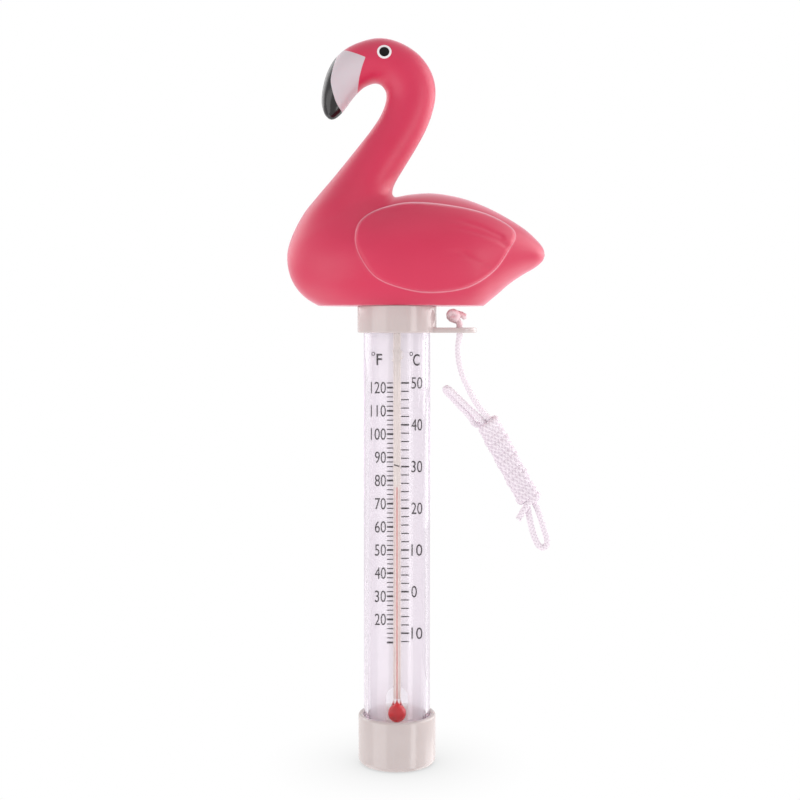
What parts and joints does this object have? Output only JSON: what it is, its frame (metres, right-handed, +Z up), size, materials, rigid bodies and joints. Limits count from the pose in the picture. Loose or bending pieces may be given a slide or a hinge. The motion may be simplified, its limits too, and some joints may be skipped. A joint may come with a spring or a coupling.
{
  "type": "floating pool thermometer",
  "caption": "Pool thermometer with a hollow flamingo float, clear tube with a spirit capillary and scale plate, weighted cap and a wound tether cord.",
  "frame": {"origin": "centre of the bottom cap's flat underside, on the tube's axis", "axes": "+Z up along the tube's axis, -X the way the bird looks, +X towards the tether lug"},
  "size_m": [0.0799, 0.044, 0.22],
  "materials": {
    "float_vinyl": "satin pink soft vinyl",
    "beige_moulding": "satin beige moulded plastic",
    "clear_tube": "clear polished tube",
    "clear_plate": "clear strip with dark grey printing",
    "capillary_glass": "clear glass with a pale back",
    "red_spirit": "red liquid",
    "clear_glue": "clear adhesive",
    "ballast_steel": "plain turned steel",
    "foam_disc": "pale foam",
    "tether_cord": "white braided cord"
  },
  "bodies": {
    "thermometer": {"flamingo_float": "float_vinyl", "collar": "beige_moulding", "clear_tube": "clear_tube", "scale_plate": "clear_plate", "capillary_glass": "capillary_glass", "bulb_spirit": "red_spirit", "spirit_thread": "red_spirit", "glue_dot": "clear_glue", "bottom_cap": "beige_moulding", "ballast_weight": "ballast_steel", "bulb_cushion": "foam_disc", "tether_knot": "tether_cord"},
    "spirit_level": {"spirit_meniscus": "red_spirit"},
    "tether": {"tether_lead": "tether_cord", "tether_winding": "tether_cord", "tether_tail": "tether_cord"}
  },
  "joints": [
    {"name": "spirit_rise", "type": "slide", "parent": "thermometer", "child": "spirit_level", "axis": [0, 0, 1], "range_m": [-0.0448, 0.0316], "deforming": ["spirit_thread"]},
    {"name": "tether_swing", "type": "hinge", "parent": "thermometer", "child": "tether", "pos_m": [0.019, 0, 0.1296], "axis": [0, -1, 0], "range_deg": [-10, 75]}
  ]
}
